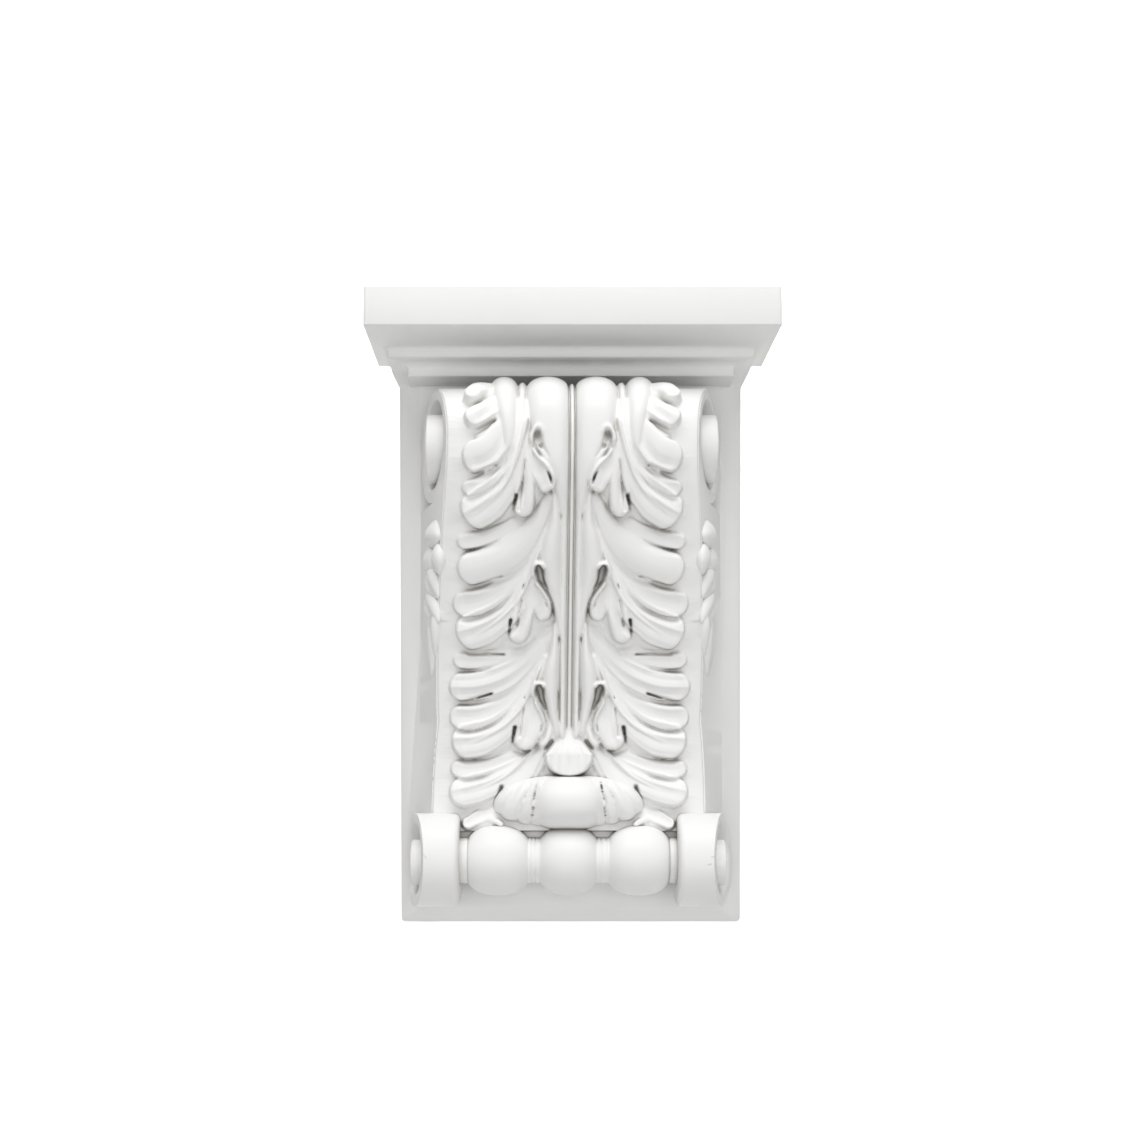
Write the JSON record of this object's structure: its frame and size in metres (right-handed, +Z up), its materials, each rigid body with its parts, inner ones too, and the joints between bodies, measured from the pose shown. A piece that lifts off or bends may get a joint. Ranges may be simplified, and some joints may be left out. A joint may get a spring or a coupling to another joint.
{
  "type": "corbel",
  "caption": "One-piece classical corbel that carries a shelf or mantel: cap slab, scrolled console with acanthus leaves, bead roll and a flat back plate",
  "frame": {"origin": "middle of the flat back face, where the corbel is fixed to the wall", "axes": "+X is the corbel's width, +Y points into the wall so the front looks towards -Y, +Z is up"},
  "size_m": [0.1986, 0.0669, 0.305],
  "materials": {
    "white_paint": "smooth cast urethane with a satin white primer"
  },
  "bodies": {
    "root": {"corbel": "white_paint"}
  },
  "joints": []
}
